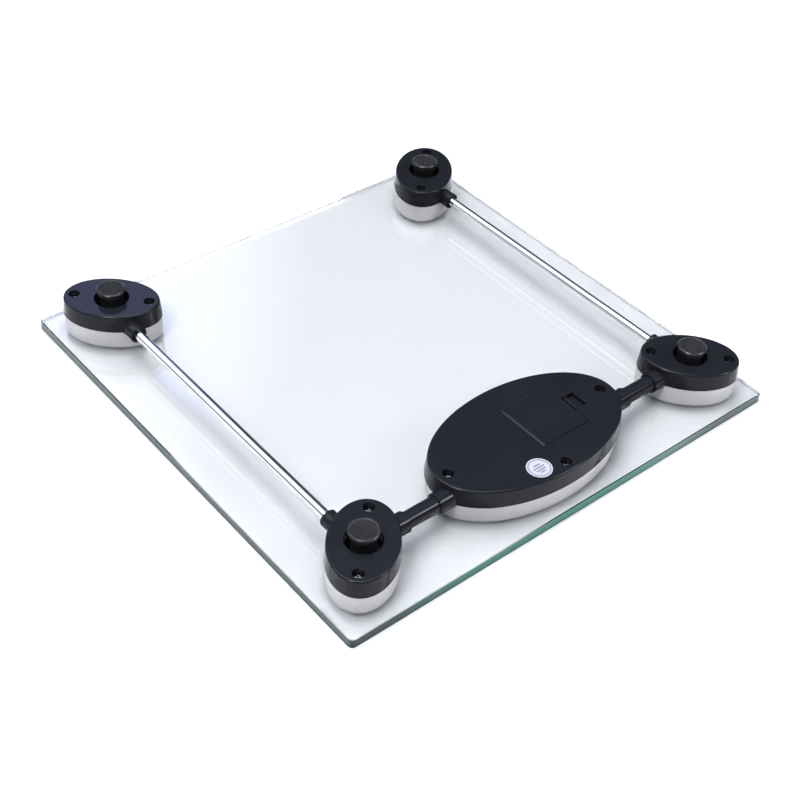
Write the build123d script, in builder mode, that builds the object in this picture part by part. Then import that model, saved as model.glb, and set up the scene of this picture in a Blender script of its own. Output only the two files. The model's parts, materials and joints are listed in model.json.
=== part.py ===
"""Digital body scale with a glass weighing plate, lying on that plate with its feet up.

Units are millimetres and +Z is up, out of the underside. The origin is the centre of the
weighing face, which lies on the floor at z = 0. The display housing is near the -Y edge.
Four elliptic pods carry the feet, each over its own load cell, and four tubes carry the
wires from the pods to the display housing.
"""
from build123d import *
from math import sqrt
import os

os.makedirs("parts", exist_ok=True)

# Glass plate
GLASS_SIDE = 300.0
GLASS_THICKNESS = 6.0
GLASS_CORNER_RADIUS = 3.0
GLASS_ARRIS = 0.6

# Levels above the weighing face, shared by the pods and the display housing
BOND_THICKNESS = 0.4
BASE_FLOOR = GLASS_THICKNESS + BOND_THICKNESS
PARTING = 17.7
COVER_TOP = 28.2
FOOT_TOP = 35.2
WALL = 2.0
PARTING_GROOVE = 0.1
LIP_HEIGHT = 1.8
LIP_THICKNESS = 1.4
POD_BOND_INSET = 0.7
DISPLAY_BOND_INSET = 0.8
COVER_EDGE_RADIUS = 1.1

# Pods: half axes of each ellipse, long axis along the plate's diagonal
POD_X = 118.0
POD_Y = 117.5
POD_BASE_LOW = (28.4, 18.8)
POD_BASE_HIGH = (28.7, 19.0)
POD_COVER_LOW = (28.9, 19.2)
POD_COVER_HIGH = (27.85, 18.45)
POD_SCREW_OFFSET = 22.0
FOOT_HOLE_RADIUS = 9.8
FOOT_SKIRT_RADIUS = 11.0
FOOT_SKIRT_BOTTOM = 21.0
FOOT_HOLE_EDGE = 0.4

# Display housing
DISPLAY_Y = -107.5
DISPLAY_BASE_LOW = (61.9, 35.7)
DISPLAY_BASE_HIGH = (63.2, 36.5)
DISPLAY_COVER_LOW = (63.6, 36.8)
DISPLAY_COVER_HIGH = (62.3, 36.0)
DISPLAY_SCREWS = ((-55.2, 0.0), (55.2, 0.0), (0.0, -30.0))

# Tubes that join the housings
TUBE_Z = 19.0
CHROME_RADIUS = 3.0
CHROME_BORE_RADIUS = 2.3
CHROME_COLLAR_RADIUS = 5.1
CHROME_COLLAR_END = 89.0
CHROME_TUBE_END = 99.0
CONNECTOR_Y = -114.0
CONNECTOR_RADIUS = 4.8
CONNECTOR_BORE_RADIUS = 3.8
CONNECTOR_COLLAR_RADIUS = 6.0
CONNECTOR_COLLAR_OUTER = 89.0
CONNECTOR_COLLAR_INNER = 69.0
CONNECTOR_OUTER_END = 99.5
CONNECTOR_INNER_END = 58.9
TUBE_FIT = 0.05
NOTCH_CLEARANCE = 0.15
NOTCH_REACH = 1.0

# Housing screws
RECESS_RADIUS = 3.15
RECESS_FLOOR = 22.8
SCREW_BOSS_RADIUS = 4.6
SCREW_POST_RADIUS = 3.4
SCREW_POST_TOP = 21.0
SCREW_HEAD = (2.6, 1.9)
SCREW_SHANK_RADIUS = 1.15
SCREW_PILOT_RADIUS = 1.2
SCREW_PASSAGE_RADIUS = 1.5
SCREW_TIP = 11.5
PILOT_FLOOR = 11.0
# Shares of a screw head: its rounded rim's height, and the span and width of its cross recess
HEAD_ROUNDING = 0.35
CROSS_SPAN = 1.2
CROSS_WIDTH = 0.26

# Load cell and foot
CELL_LENGTH = 34.0
CELL_WIDTH = 22.0
CELL_THICKNESS = 2.0
CELL_BOTTOM = 10.5
CELL_CORNER_RADIUS = 3.0
CELL_WINDOW = (24.0, 15.0)
CELL_WINDOW_RADIUS = 1.0
CELL_TONGUE = (13.0, 9.0)
CELL_TONGUE_X = -6.0
CELL_EYE_RADIUS = 5.0
CELL_HOLE_RADIUS = 3.15
LEDGE_LENGTH = 26.0
LEDGE_WIDTH = 3.0
GAUGE_SIZE = (3.2, 5.0, 0.6)
GAUGE_X = -11.0
GAUGE_CORNER_RADIUS = 0.8
FOOT_TRAVEL = 0.8
FOOT_SPIGOT_RADIUS = 2.8
FOOT_SPIGOT_BOTTOM = 9.9
FOOT_FLANGE_RADIUS = 8.6
FOOT_CLEARANCE = 0.1
FOOT_FLANGE_BOTTOM = CELL_BOTTOM + CELL_THICKNESS + FOOT_TRAVEL + FOOT_CLEARANCE
FOOT_FLANGE_THICKNESS = 2.0
FOOT_COLUMN_RADIUS = 6.5
FOOT_BOSS_RADIUS = 4.0
FOOT_BOSS_HEIGHT = 1.5
PAD_BOTTOM = 31.7
PAD_RIM = 34.4
PAD_LOW_RADIUS = 7.9
PAD_RIM_RADIUS = 8.25
PAD_TOP_RADIUS = 7.5

# Battery door, its hinge and its latch
DOOR_X0 = -2.45
DOOR_X1 = 32.05
DOOR_Y = -105.5
DOOR_WIDTH = 33.2
DOOR_THICKNESS = 1.8
DOOR_GAP = 0.3
DOOR_CORNER_RADIUS = 1.0
BARREL_RADIUS = 2.4
HINGE_X = DOOR_X0 + BARREL_RADIUS
HINGE_Z = COVER_TOP - BARREL_RADIUS
PIN_RADIUS = 1.2
PIN_LENGTH = 1.6
PIN_HOLE_RADIUS = 1.28
PIN_HOLE_DEPTH = 1.8
WELL_FLOOR = 21.2
WELL_FLOOR_THICKNESS = 1.4
WELL_X = (0.4, 30.6)
WELL_WIDTH = 29.5
WELL_OUTER_X = (-4.9, 36.9)
WELL_OUTER_WIDTH = 38.6
LATCH_Y = -106.0
LATCH_WIDTH = 9.0
LATCH_SLOT_X = (30.5, 35.6)
LATCH_SLOT_WIDTH = 11.6
LATCH_SLOT_FLOOR = 21.4
LATCH_HOUSING_BOTTOM = 23.9
LATCH_HOUSING_WALL = 1.3
LEG_THICKNESS = 1.0
LEG_INSET = 0.05
LEG_Z = (21.8, 22.6)
TONGUE_X = (33.6, 34.9)
TONGUE_Z = (22.9, 27.6)
TONGUE_ROUNDING = 0.4
HOOK_REACH = 0.35
HOOK_LEVELS = (24.4, 24.9, 25.6)
FINGER_X = (35.5, 40.7)
FINGER_FLOOR = 25.2
RING_RADIUS = 8.0
RING_BORE_RADIUS = 6.8
RING_GAP = 0.8

# Inspection label
LABEL_PLACE = (-15.0, -132.8)
LABEL_RADIUS = 7.0
LABEL_THICKNESS = 0.15

# Display electronics
LCD_SIZE = (54.0, 26.0, 2.8)
LCD_CLEARANCE = 0.4
LCD_OVERLAP = 2.0
LCD_FRAME_SIZE = (60.0, 32.0)
LCD_FRAME_TOP = 12.2
REFLECTOR_SIZE = (49.0, 20.0, 1.0)
ZEBRA_SIZE = (50.0, 1.8)
ZEBRA_Y = 11.6
BOARD_SIZE = (84.0, 40.0)
BOARD_THICKNESS = 1.2
BOARD_TOP = LCD_FRAME_TOP + BOARD_THICKNESS
BOARD_HOLE = (38.0, 15.5)
BOARD_CORNER_RADIUS = 3.0
BOARD_HOLE_RADIUS = 1.1
BOARD_PILOT_RADIUS = 1.0
BOARD_POST_RADIUS = 2.4
BOARD_SCREW_TIP = 9.6
BOARD_SCREW_HEAD = (1.9, 1.2)
BOARD_SCREW_SHANK_RADIUS = 0.95
BLOB_X = -18.0
BLOB_RADIUS = 5.0
BLOB_HEIGHT = 1.6
BLOB_ROUNDING = 1.2
COMPONENT_SIZE = (3.2, 1.6, 0.9)
COMPONENT_PLACES = ((-31, 9), (-31, 13), (-26, -13), (-8, 13), (-8, 9))
CELL_RADIUS = 10.0
CELL_HEIGHT = 3.2
CELL_X = 15.5
CELL_CAP_INSET = 1.0
CELL_CAP_HEIGHT = 0.6
CRADLE_HEIGHT = 2.6
CRADLE_GAP = 0.4
CRADLE_WALL = 1.2
CRADLE_OPENING = (10.0, 30.0)
CONTACT_THICKNESS = 0.3
CONTACT_LEG_WIDTH = 3.0
CONTACT_SLOT = (3.4, 0.7)
POSITIVE_WIDTH = 6.0
POSITIVE_BELOW_TOP = 0.7
NEGATIVE_WIDTH = 7.0
NEGATIVE_REACH = (-7.0, 9.3)

# Wires: their radius, their lift off a surface, their lanes and where they bend
WIRE_RADIUS = 0.8
WIRE_LIFT = 0.1
REAR_LANE_Y = -112.9
FRONT_LANE_Y = -115.3
WIRE_BOARD_X = (36.0, 41.0)
WIRE_DROP_X = 50.0
REAR_WIRE_Y = (107.4, 104.6, 100.4)
REAR_WIRE_TURN = (108.5, -104.0)
REAR_WIRE_BENDS = (2.2, 2.2, 12.0, 12.0, 7.0, 7.0)
FRONT_WIRE_START = ((107.6, -119.6), (105.6, -118.0), (101.6, -115.3))
FRONT_WIRE_BENDS = (2.0, 2.4, 7.0, 7.0)

PODS = {
    "front_left": (-1, -1),
    "front_right": (1, -1),
    "rear_left": (-1, 1),
    "rear_right": (1, 1),
}
ALONG_X = (0, 90, 0)
ALONG_Y = (90, 0, 0)
ON_SEAT = (Align.CENTER, Align.CENTER, Align.MIN)


def save(part, name):
    """Labels a finished piece and writes it under its own name."""
    part.label = name
    export_step(part, f"parts/{name}.step")


def pod_plane(side_x, side_y):
    """Plane at a pod's centre, its X axis along the plate's diagonal."""
    return Plane(
        origin=(POD_X * side_x, POD_Y * side_y, 0),
        x_dir=(side_x / sqrt(2), side_y / sqrt(2), 0),
        z_dir=(0, 0, 1),
    )


def elliptic_block(plane, low, high, half_low, half_high, mode=Mode.ADD):
    """Tapered block between two ellipses, each given by its half axes."""
    with BuildSketch(plane.offset(low), mode=Mode.PRIVATE) as bottom:
        Ellipse(*half_low)
    with BuildSketch(plane.offset(high), mode=Mode.PRIVATE) as top:
        Ellipse(*half_high)
    loft([bottom.sketch, top.sketch], mode=mode)


def block(x_range, y_range, z_range, mode=Mode.ADD):
    """Box between given limits along X, Y and Z."""
    low = (x_range[0], y_range[0], z_range[0])
    size = (x_range[1] - x_range[0], y_range[1] - y_range[0], z_range[1] - z_range[0])
    with Locations(low):
        Box(*size, align=(Align.MIN, Align.MIN, Align.MIN), mode=mode)


def post(plane, x, y, z_range, radius, mode=Mode.ADD):
    """Upright cylinder at (x, y) of a plane, between two levels."""
    with Locations(plane.offset(z_range[0]).location * Pos(x, y, 0)):
        height = z_range[1] - z_range[0]
        Cylinder(radius, height, align=ON_SEAT, mode=mode)


def inset(half_axes, amount):
    """Half axes of a smaller ellipse inside the given one."""
    return (half_axes[0] - amount, half_axes[1] - amount)


def around(centre, width):
    """Limits of a span of the given width about a centre."""
    return (centre - width / 2, centre + width / 2)


def pod_collars(side_x, side_y):
    """Each collar of a pod: centre, direction, length, its radius and its tube's radius."""
    middle = (CHROME_COLLAR_END + CHROME_TUBE_END) / 2
    length = CHROME_TUBE_END - CHROME_COLLAR_END
    centre = (POD_X * side_x, middle * side_y, TUBE_Z)
    collars = [(centre, ALONG_Y, length, CHROME_COLLAR_RADIUS, CHROME_RADIUS)]
    if side_y < 0:
        middle = (CONNECTOR_COLLAR_OUTER + CONNECTOR_OUTER_END) / 2
        length = CONNECTOR_OUTER_END - CONNECTOR_COLLAR_OUTER
        centre = (middle * side_x, CONNECTOR_Y, TUBE_Z)
        collars.append((centre, ALONG_X, length, CONNECTOR_COLLAR_RADIUS, CONNECTOR_RADIUS))
    return collars


def display_collars():
    """The display housing's two collars, in the same form."""
    middle = (CONNECTOR_COLLAR_INNER + CONNECTOR_INNER_END) / 2
    length = CONNECTOR_COLLAR_INNER - CONNECTOR_INNER_END
    return [
        ((side * middle, CONNECTOR_Y, TUBE_Z), ALONG_X, length, CONNECTOR_COLLAR_RADIUS, CONNECTOR_RADIUS)
        for side in (-1, 1)
    ]


def add_collars(collars):
    """Round collars on a cover, bored for their tubes."""
    for centre, direction, length, radius, _ in collars:
        with Locations(centre):
            Cylinder(radius, length, rotation=direction)
    for centre, direction, length, _, tube_radius in collars:
        with Locations(centre):
            Cylinder(tube_radius + TUBE_FIT, length, rotation=direction, mode=Mode.SUBTRACT)


def cut_notches(collars):
    """Notches in a base's wall, open at the top, that the cover's collars drop into."""
    for centre, direction, length, radius, _ in collars:
        notch_radius = radius + NOTCH_CLEARANCE
        notch_length = length + 2 * NOTCH_REACH
        with Locations(centre):
            Cylinder(notch_radius, notch_length, rotation=direction, mode=Mode.SUBTRACT)
        across = 2 * notch_radius
        size = (notch_length, across) if direction == ALONG_X else (across, notch_length)
        with Locations(centre):
            Box(*size, across, align=ON_SEAT, mode=Mode.SUBTRACT)


def cover_shell(plane, half_low, half_high, screws):
    """Cover with rounded top edge, hollow below, with bosses for its sunk screws."""
    elliptic_block(plane, PARTING, COVER_TOP, half_low, half_high)
    fillet(faces().sort_by(Axis.Z)[-1].edges(), COVER_EDGE_RADIUS)
    hollow_top = COVER_TOP - WALL
    hollow_low = inset(half_low, WALL)
    hollow_high = inset(half_high, WALL)
    elliptic_block(plane, PARTING, hollow_top, hollow_low, hollow_high, Mode.SUBTRACT)
    for x, y in screws:
        post(plane, x, y, (SCREW_POST_TOP, hollow_top), SCREW_BOSS_RADIUS)
    recess_depth = COVER_TOP - RECESS_FLOOR
    passage_depth = COVER_TOP - SCREW_POST_TOP
    with Locations(*[plane.offset(COVER_TOP).location * Pos(x, y, 0) for x, y in screws]):
        CounterBoreHole(SCREW_PASSAGE_RADIUS, RECESS_RADIUS, recess_depth, passage_depth)


def base_cup(plane, half_low, half_high, half_cover, screws):
    """Cup with a locating lip inside the cover, a floor on the glass and screw posts."""
    top = PARTING - PARTING_GROOVE
    lip = inset(half_cover, WALL + NOTCH_CLEARANCE)
    lip_top = PARTING + LIP_HEIGHT
    elliptic_block(plane, BASE_FLOOR, top, half_low, half_high)
    elliptic_block(plane, top, lip_top, lip, inset(lip, NOTCH_CLEARANCE))
    floor = BASE_FLOOR + WALL
    lip_bottom = top - LIP_HEIGHT
    bore_low = inset(half_low, WALL)
    bore_high = inset(half_high, WALL)
    elliptic_block(plane, floor, lip_bottom, bore_low, bore_high, Mode.SUBTRACT)
    lip_bore = inset(lip, LIP_THICKNESS)
    elliptic_block(plane, lip_bottom, lip_top, lip_bore, lip_bore, Mode.SUBTRACT)
    for x, y in screws:
        post(plane, x, y, (floor, SCREW_POST_TOP), SCREW_POST_RADIUS)
    for x, y in screws:
        post(plane, x, y, (PILOT_FLOOR, SCREW_POST_TOP), SCREW_PILOT_RADIUS, Mode.SUBTRACT)


def pan_screws(plane, places, seat, tip, head, shank_radius):
    """Cross-recessed pan-head screws, one solid each; a head is its radius and height."""
    head_radius, head_height = head
    with BuildPart() as screws:
        for x, y in places:
            post(plane, x, y, (tip, seat), shank_radius)
            post(plane, x, y, (seat, seat + head_height), head_radius)
        rims = screws.edges().filter_by(GeomType.CIRCLE).group_by(Axis.Z)[-1]
        fillet(rims, head_height * HEAD_ROUNDING)
        span = head_radius * CROSS_SPAN
        width = head_radius * CROSS_WIDTH
        for x, y in places:
            with Locations(plane.offset(seat + head_height).location * Pos(x, y, 0)):
                Box(span, width, head_height, mode=Mode.SUBTRACT)
                Box(width, span, head_height, mode=Mode.SUBTRACT)
    return screws.part


def wire_run(points, radii):
    """Bundle of wires swept round its route, with one bend radius for each corner."""
    with BuildPart() as bundle:
        with BuildLine() as route:
            FilletPolyline(*points, radius=list(radii))
        with BuildSketch(Plane(origin=route.line @ 0, z_dir=route.line % 0)):
            Circle(WIRE_RADIUS)
        sweep()
    return bundle.part


# Glass plate ---------------------------------------------------------------------------

with BuildPart() as glass_platform:
    with BuildSketch():
        RectangleRounded(GLASS_SIDE, GLASS_SIDE, GLASS_CORNER_RADIUS)
    extrude(amount=GLASS_THICKNESS)
    flat_faces = glass_platform.faces().filter_by(Axis.Z)
    chamfer(flat_faces.edges(), GLASS_ARRIS)
save(glass_platform.part, "glass_platform")

# Pods ----------------------------------------------------------------------------------

pod_screws = ((-POD_SCREW_OFFSET, 0.0), (POD_SCREW_OFFSET, 0.0))
cell_top = CELL_BOTTOM + CELL_THICKNESS
flange_top = FOOT_FLANGE_BOTTOM + FOOT_FLANGE_THICKNESS

for pod_name, (side_x, side_y) in PODS.items():
    here = pod_plane(side_x, side_y)
    collars = pod_collars(side_x, side_y)

    with BuildPart() as bond_pad:
        with BuildSketch(here.offset(GLASS_THICKNESS)):
            Ellipse(*inset(POD_BASE_LOW, POD_BOND_INSET))
        extrude(amount=BOND_THICKNESS)
    save(bond_pad.part, f"bond_pad_{pod_name}")

    with BuildPart() as pod_base:
        base_cup(here, POD_BASE_LOW, POD_BASE_HIGH, POD_COVER_LOW, pod_screws)
        for side in (-1, 1):
            ledge_y = side * (CELL_WIDTH - LEDGE_WIDTH) / 2
            with Locations(here.offset(BASE_FLOOR + WALL).location * Pos(0, ledge_y, 0)):
                ledge_height = CELL_BOTTOM - BASE_FLOOR - WALL
                Box(LEDGE_LENGTH, LEDGE_WIDTH, ledge_height, align=ON_SEAT)
        cut_notches(collars)
    save(pod_base.part, f"pod_base_{pod_name}")

    with BuildPart() as pod_cover:
        cover_shell(here, POD_COVER_LOW, POD_COVER_HIGH, pod_screws)
        post(here, 0, 0, (FOOT_SKIRT_BOTTOM, COVER_TOP - WALL), FOOT_SKIRT_RADIUS)
        post(here, 0, 0, (FOOT_SKIRT_BOTTOM, COVER_TOP), FOOT_HOLE_RADIUS, Mode.SUBTRACT)
        top_circles = pod_cover.edges().filter_by(GeomType.CIRCLE).group_by(Axis.Z)[-1]
        fillet(top_circles.sort_by(SortBy.RADIUS)[-1], FOOT_HOLE_EDGE)
        add_collars(collars)
    save(pod_cover.part, f"pod_cover_{pod_name}")

    with BuildPart() as load_cell:
        with BuildSketch(here.offset(CELL_BOTTOM)):
            RectangleRounded(CELL_LENGTH, CELL_WIDTH, CELL_CORNER_RADIUS)
            RectangleRounded(*CELL_WINDOW, CELL_WINDOW_RADIUS, mode=Mode.SUBTRACT)
            with Locations((CELL_TONGUE_X, 0)):
                Rectangle(*CELL_TONGUE)
            Circle(CELL_EYE_RADIUS)
            Circle(CELL_HOLE_RADIUS, mode=Mode.SUBTRACT)
        extrude(amount=CELL_THICKNESS)
    save(load_cell.part, f"load_cell_{pod_name}")

    with BuildPart() as strain_gauge:
        with Locations(here.offset(cell_top).location * Pos(GAUGE_X, 0, 0)):
            Box(*GAUGE_SIZE, align=ON_SEAT)
        fillet(strain_gauge.edges().filter_by(Axis.Z), GAUGE_CORNER_RADIUS)
    save(strain_gauge.part, f"strain_gauge_{pod_name}")

    with BuildPart() as foot_carrier:
        post(here, 0, 0, (FOOT_SPIGOT_BOTTOM, FOOT_FLANGE_BOTTOM), FOOT_SPIGOT_RADIUS)
        post(here, 0, 0, (FOOT_FLANGE_BOTTOM, flange_top), FOOT_FLANGE_RADIUS)
        post(here, 0, 0, (flange_top, PAD_BOTTOM), FOOT_COLUMN_RADIUS)
        post(here, 0, 0, (PAD_BOTTOM, PAD_BOTTOM + FOOT_BOSS_HEIGHT), FOOT_BOSS_RADIUS)
    save(foot_carrier.part, f"foot_carrier_{pod_name}")

    with BuildPart() as foot_pad:
        with Locations(here.offset(PAD_BOTTOM)):
            Cone(PAD_LOW_RADIUS, PAD_RIM_RADIUS, PAD_RIM - PAD_BOTTOM, align=ON_SEAT)
        with Locations(here.offset(PAD_RIM)):
            Cone(PAD_RIM_RADIUS, PAD_TOP_RADIUS, FOOT_TOP - PAD_RIM, align=ON_SEAT)
        post(here, 0, 0, (PAD_BOTTOM, PAD_BOTTOM + FOOT_BOSS_HEIGHT), FOOT_BOSS_RADIUS, Mode.SUBTRACT)
    save(foot_pad.part, f"foot_pad_{pod_name}")

    screw_group = pan_screws(here, pod_screws, RECESS_FLOOR, SCREW_TIP, SCREW_HEAD, SCREW_SHANK_RADIUS)
    save(screw_group, f"pod_screws_{pod_name}")

# Tubes ---------------------------------------------------------------------------------

for side_name, side in (("left", -1), ("right", 1)):
    with BuildPart() as chrome_tube:
        with Locations((POD_X * side, 0, TUBE_Z)):
            Cylinder(CHROME_RADIUS, 2 * CHROME_TUBE_END, rotation=ALONG_Y)
            Cylinder(CHROME_BORE_RADIUS, 2 * CHROME_TUBE_END, rotation=ALONG_Y, mode=Mode.SUBTRACT)
    save(chrome_tube.part, f"chrome_tube_{side_name}")

    connector_length = CONNECTOR_OUTER_END - CONNECTOR_INNER_END
    connector_middle = side * (CONNECTOR_OUTER_END + CONNECTOR_INNER_END) / 2
    with BuildPart() as connector_tube:
        with Locations((connector_middle, CONNECTOR_Y, TUBE_Z)):
            Cylinder(CONNECTOR_RADIUS, connector_length, rotation=ALONG_X)
            Cylinder(CONNECTOR_BORE_RADIUS, connector_length, rotation=ALONG_X, mode=Mode.SUBTRACT)
    save(connector_tube.part, f"connector_tube_{side_name}")

# Display housing -----------------------------------------------------------------------

display = Plane(origin=(0, DISPLAY_Y, 0))
display_floor = BASE_FLOOR + WALL
lcd_window = (LCD_SIZE[0] + LCD_CLEARANCE, LCD_SIZE[1] + LCD_CLEARANCE)

with BuildPart() as display_bond_pad:
    with BuildSketch(display.offset(GLASS_THICKNESS)):
        Ellipse(*inset(DISPLAY_BASE_LOW, DISPLAY_BOND_INSET))
        Rectangle(*inset(LCD_SIZE, 2 * LCD_OVERLAP), mode=Mode.SUBTRACT)
    extrude(amount=BOND_THICKNESS)
save(display_bond_pad.part, "display_bond_pad")

board_holes = [(x * BOARD_HOLE[0], y * BOARD_HOLE[1]) for x in (-1, 1) for y in (-1, 1)]
with BuildPart() as display_base:
    base_cup(display, DISPLAY_BASE_LOW, DISPLAY_BASE_HIGH, DISPLAY_COVER_LOW, DISPLAY_SCREWS)
    window_y = around(DISPLAY_Y, lcd_window[1])
    block(around(0, lcd_window[0]), window_y, (BASE_FLOOR, display_floor), Mode.SUBTRACT)
    for hole_x, hole_y in board_holes:
        post(display, hole_x, hole_y, (display_floor, LCD_FRAME_TOP), BOARD_POST_RADIUS)
        post(display, hole_x, hole_y, (display_floor, LCD_FRAME_TOP), BOARD_PILOT_RADIUS, Mode.SUBTRACT)
    cut_notches(display_collars())
save(display_base.part, "display_base")

well_y = around(DOOR_Y, WELL_WIDTH)
slot_y = around(LATCH_Y, LATCH_SLOT_WIDTH)
door_hole_y = around(DOOR_Y, DOOR_WIDTH + 2 * DOOR_GAP)
positive_y = (DOOR_Y - CELL_RADIUS - CONTACT_THICKNESS, DOOR_Y - CELL_RADIUS)
negative_y = (DOOR_Y + NEGATIVE_REACH[0], DOOR_Y + NEGATIVE_REACH[1])
negative_leg_y = (negative_y[1] - CONTACT_THICKNESS, negative_y[1])
with BuildPart() as display_cover:
    cover_shell(display, DISPLAY_COVER_LOW, DISPLAY_COVER_HIGH, DISPLAY_SCREWS)
    underside = COVER_TOP - WALL
    well_bottom = WELL_FLOOR - WELL_FLOOR_THICKNESS
    block(WELL_OUTER_X, around(DOOR_Y, WELL_OUTER_WIDTH), (well_bottom, underside))
    housing_x = (WELL_OUTER_X[1], FINGER_X[1] + LATCH_HOUSING_WALL)
    housing_y = around(LATCH_Y, LATCH_SLOT_WIDTH + 2 * LATCH_HOUSING_WALL)
    block(housing_x, housing_y, (LATCH_HOUSING_BOTTOM, underside))
    door_x = (DOOR_X0 - DOOR_GAP, DOOR_X1 + DOOR_GAP)
    block(door_x, door_hole_y, (underside, COVER_TOP), Mode.SUBTRACT)
    barrel_x = (door_x[0], HINGE_X + BARREL_RADIUS + DOOR_GAP)
    block(barrel_x, door_hole_y, (HINGE_Z - BARREL_RADIUS - DOOR_GAP, underside), Mode.SUBTRACT)
    block(WELL_X, well_y, (WELL_FLOOR, underside), Mode.SUBTRACT)
    block(LATCH_SLOT_X, slot_y, (LATCH_SLOT_FLOOR, COVER_TOP), Mode.SUBTRACT)
    block(FINGER_X, slot_y, (FINGER_FLOOR, COVER_TOP), Mode.SUBTRACT)
    pin_holes_length = DOOR_WIDTH + 2 * DOOR_GAP + 2 * PIN_HOLE_DEPTH
    with Locations((HINGE_X, DOOR_Y, HINGE_Z)):
        Cylinder(PIN_HOLE_RADIUS, pin_holes_length, rotation=ALONG_Y, mode=Mode.SUBTRACT)
    # Cradle ring that keeps the cell in place, open at both contacts
    cradle = Plane(origin=(CELL_X, DOOR_Y, 0))
    with BuildSketch(cradle.offset(WELL_FLOOR)):
        Circle(CELL_RADIUS + CRADLE_GAP + CRADLE_WALL)
        Circle(CELL_RADIUS + CRADLE_GAP, mode=Mode.SUBTRACT)
        Rectangle(*CRADLE_OPENING, mode=Mode.SUBTRACT)
    extrude(amount=CRADLE_HEIGHT)
    for strip_middle in (sum(positive_y) / 2, sum(negative_leg_y) / 2):
        slot_x = around(CELL_X, CONTACT_SLOT[0])
        block(slot_x, around(strip_middle, CONTACT_SLOT[1]), (well_bottom, WELL_FLOOR), Mode.SUBTRACT)
    add_collars(display_collars())
save(display_cover.part, "display_cover")

# Battery door with its hinge barrel and pins, and the fixed half of its spring latch
leg_x = (DOOR_X1 - LEG_INSET - LEG_THICKNESS, DOOR_X1 - LEG_INSET)
leg_y = around(LATCH_Y, LATCH_WIDTH)
ring_bottom = WELL_FLOOR + CELL_HEIGHT + RING_GAP
with BuildPart() as battery_door:
    block((HINGE_X, DOOR_X1), around(DOOR_Y, DOOR_WIDTH), (COVER_TOP - DOOR_THICKNESS, COVER_TOP))
    right_corners = battery_door.edges().filter_by(Axis.Z).group_by(Axis.X)[-1]
    fillet(right_corners, DOOR_CORNER_RADIUS)
    with Locations((HINGE_X, DOOR_Y, HINGE_Z)):
        Cylinder(BARREL_RADIUS, DOOR_WIDTH, rotation=ALONG_Y)
        Cylinder(PIN_RADIUS, DOOR_WIDTH + 2 * PIN_LENGTH, rotation=ALONG_Y)
    block(leg_x, leg_y, (LEG_Z[0], COVER_TOP - DOOR_THICKNESS))
    block((leg_x[0], TONGUE_X[1]), leg_y, LEG_Z)
    # Ring under the door that holds the cell down
    with BuildSketch(cradle.offset(ring_bottom)):
        Circle(RING_RADIUS)
        Circle(RING_BORE_RADIUS, mode=Mode.SUBTRACT)
    extrude(amount=COVER_TOP - DOOR_THICKNESS - ring_bottom)
save(battery_door.part, "battery_door")

with BuildPart() as door_latch:
    with BuildSketch(Plane.XZ.offset(-leg_y[1])):
        with BuildLine():
            Polyline(
                (TONGUE_X[0], TONGUE_Z[0]),
                (TONGUE_X[1], TONGUE_Z[0]),
                (TONGUE_X[1], HOOK_LEVELS[0]),
                (TONGUE_X[1] + HOOK_REACH, HOOK_LEVELS[1]),
                (TONGUE_X[1], HOOK_LEVELS[2]),
                (TONGUE_X[1], TONGUE_Z[1]),
                (TONGUE_X[0], TONGUE_Z[1]),
                close=True,
            )
        make_face()
    extrude(amount=LATCH_WIDTH)
    fillet(door_latch.edges().filter_by(Axis.Y).group_by(Axis.Z)[-1], TONGUE_ROUNDING)
save(door_latch.part, "door_latch")

screw_group = pan_screws(display, DISPLAY_SCREWS, RECESS_FLOOR, SCREW_TIP, SCREW_HEAD, SCREW_SHANK_RADIUS)
save(screw_group, "display_screws")

with BuildPart() as inspection_label:
    with BuildSketch(Plane((*LABEL_PLACE, COVER_TOP))):
        Circle(LABEL_RADIUS)
    extrude(amount=LABEL_THICKNESS)
save(inspection_label.part, "inspection_label")

# Display electronics -------------------------------------------------------------------

with BuildPart() as lcd_panel:
    with Locations((0, DISPLAY_Y, BASE_FLOOR)):
        Box(*LCD_SIZE, align=ON_SEAT)
save(lcd_panel.part, "lcd_panel")

lcd_back = BASE_FLOOR + LCD_SIZE[2]
with BuildPart() as lcd_frame:
    with BuildSketch(display.offset(display_floor)):
        Rectangle(*LCD_FRAME_SIZE)
        Rectangle(*lcd_window, mode=Mode.SUBTRACT)
    extrude(amount=lcd_back - display_floor)
    with BuildSketch(display.offset(lcd_back)):
        Rectangle(*LCD_FRAME_SIZE)
        Rectangle(LCD_SIZE[0] - LCD_OVERLAP, LCD_SIZE[1] - LCD_CLEARANCE, mode=Mode.SUBTRACT)
    extrude(amount=LCD_FRAME_TOP - lcd_back)
save(lcd_frame.part, "lcd_frame")

with BuildPart() as lcd_reflector:
    with Locations((0, DISPLAY_Y, lcd_back)):
        Box(*REFLECTOR_SIZE, align=ON_SEAT)
save(lcd_reflector.part, "lcd_reflector")

with BuildPart() as zebra_strips:
    with Locations((0, DISPLAY_Y - ZEBRA_Y, lcd_back), (0, DISPLAY_Y + ZEBRA_Y, lcd_back)):
        Box(*ZEBRA_SIZE, LCD_FRAME_TOP - lcd_back, align=ON_SEAT)
save(zebra_strips.part, "zebra_strips")

with BuildPart() as circuit_board:
    with BuildSketch(display.offset(LCD_FRAME_TOP)):
        RectangleRounded(*BOARD_SIZE, BOARD_CORNER_RADIUS)
        with Locations(*board_holes):
            Circle(BOARD_HOLE_RADIUS, mode=Mode.SUBTRACT)
    extrude(amount=BOARD_THICKNESS)
save(circuit_board.part, "circuit_board")

screw_group = pan_screws(
    display, board_holes, BOARD_TOP, BOARD_SCREW_TIP, BOARD_SCREW_HEAD, BOARD_SCREW_SHANK_RADIUS
)
save(screw_group, "board_screws")

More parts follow.
